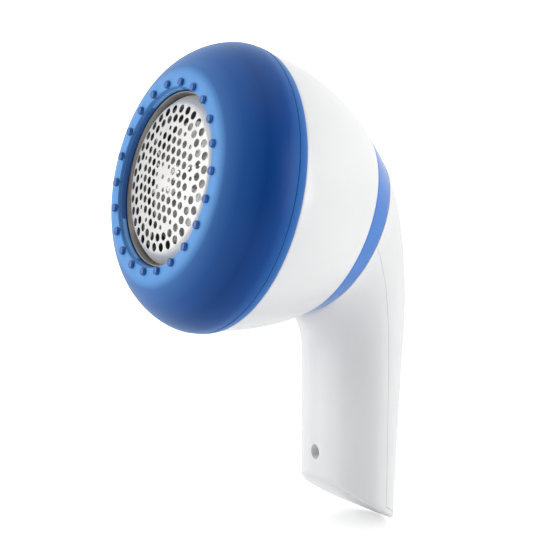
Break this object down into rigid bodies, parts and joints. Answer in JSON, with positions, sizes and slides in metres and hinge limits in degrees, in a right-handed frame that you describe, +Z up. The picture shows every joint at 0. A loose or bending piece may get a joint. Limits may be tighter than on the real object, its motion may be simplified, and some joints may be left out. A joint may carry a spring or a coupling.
{
  "type": "fabric shaver",
  "caption": "Hand-held fabric shaver: a perforated foil in a studded blue ring, a lint drum behind it and an upright handle with a slide switch on its back.",
  "frame": {"origin": "under the middle of the object's bounding box, at the level of the handle's tip", "axes": "+Z up along the handle, -Y the side that the cutting head faces, X across the handle; the outside is mirrored about X = 0"},
  "size_m": [0.0838, 0.0842, 0.1431],
  "materials": {
    "white_shell": "glossy white",
    "blue_cap": "satin blue",
    "blue_band": "glossy blue",
    "steel": "bright satin",
    "dark_plastic": "moulded black",
    "grey_plastic": "moulded grey",
    "plated": "nickel plated",
    "copper": "wound copper and laminations",
    "magnet": "sintered, dark",
    "cell_sleeve": "plain coloured sleeve",
    "red_wire": "insulated wire",
    "black_wire": "insulated wire",
    "brass": "plain"
  },
  "bodies": {
    "handle": {"front_shell": "white_shell", "accent_band": "blue_band", "motor_mount": "white_shell", "motor_can": "plated", "motor_endcap": "dark_plastic", "magnet_left": "magnet", "magnet_right": "magnet", "terminal_left": "brass", "terminal_right": "brass", "battery_left": "cell_sleeve", "battery_right": "cell_sleeve", "battery_tray": "dark_plastic", "contact_plus": "plated", "contact_minus": "plated", "contact_bridge": "plated", "spring_bridge": "plated", "spring_minus": "plated", "switch_body": "dark_plastic", "wire_red": "red_wire", "wire_black": "black_wire", "wire_link": "red_wire", "cover_screw": "plated"},
    "rotor": {"motor_shaft": "steel", "armature": "copper", "commutator": "copper", "drive_dog": "grey_plastic"},
    "drum": {"drum": "white_shell", "chamber_floor": "grey_plastic", "spindle_bush": "brass"},
    "cutter": {"cutter_spindle": "steel", "cutter_hub": "dark_plastic", "blade_1": "steel", "blade_2": "steel", "blade_3": "steel", "cutter_spring": "plated", "spring_washer": "plated", "drive_socket": "grey_plastic"},
    "foil_head": {"foil": "steel", "foil_frame": "steel", "foil_carrier": "white_shell"},
    "height_cap": {"height_cap": "blue_cap"},
    "rear_cover": {"rear_cover": "white_shell"},
    "switch_knob": {"switch_knob": "white_shell"},
    "switch_lever": {"switch_lever": "grey_plastic"}
  },
  "joints": [
    {"name": "motor_spin", "type": "hinge", "parent": "handle", "child": "rotor", "pos_m": [0, 0.00907, 0.09556], "axis": [0, -0.9737, 0.2277], "continuous": true},
    {"name": "drum_pull", "type": "slide", "parent": "handle", "child": "drum", "axis": [0, -0.9737, 0.2277], "range_m": [0, 0.04]},
    {"name": "cutter_spin", "type": "hinge", "parent": "drum", "child": "cutter", "pos_m": [0, -0.02014, 0.10239], "axis": [0, -0.9737, 0.2277], "continuous": true},
    {"name": "foil_pull", "type": "slide", "parent": "drum", "child": "foil_head", "axis": [0, -0.9737, 0.2277], "range_m": [0, 0.025]},
    {"name": "cap_pull", "type": "slide", "parent": "foil_head", "child": "height_cap", "axis": [0, -0.9737, 0.2277], "range_m": [0, 0.03]},
    {"name": "cover_pull", "type": "slide", "parent": "handle", "child": "rear_cover", "axis": [0, 1, 0], "range_m": [0, 0.03]},
    {"name": "switch_slide", "type": "slide", "parent": "rear_cover", "child": "switch_knob", "axis": [0, 0, 1], "range_m": [0, 0.004]},
    {"name": "lever_slide", "type": "slide", "parent": "handle", "child": "switch_lever", "axis": [0, 0, 1], "range_m": [0, 0.004]}
  ],
  "couplings": [
    {"joint": "cutter_spin", "follows": "motor_spin", "ratio": 1},
    {"joint": "lever_slide", "follows": "switch_slide", "ratio": 1}
  ]
}
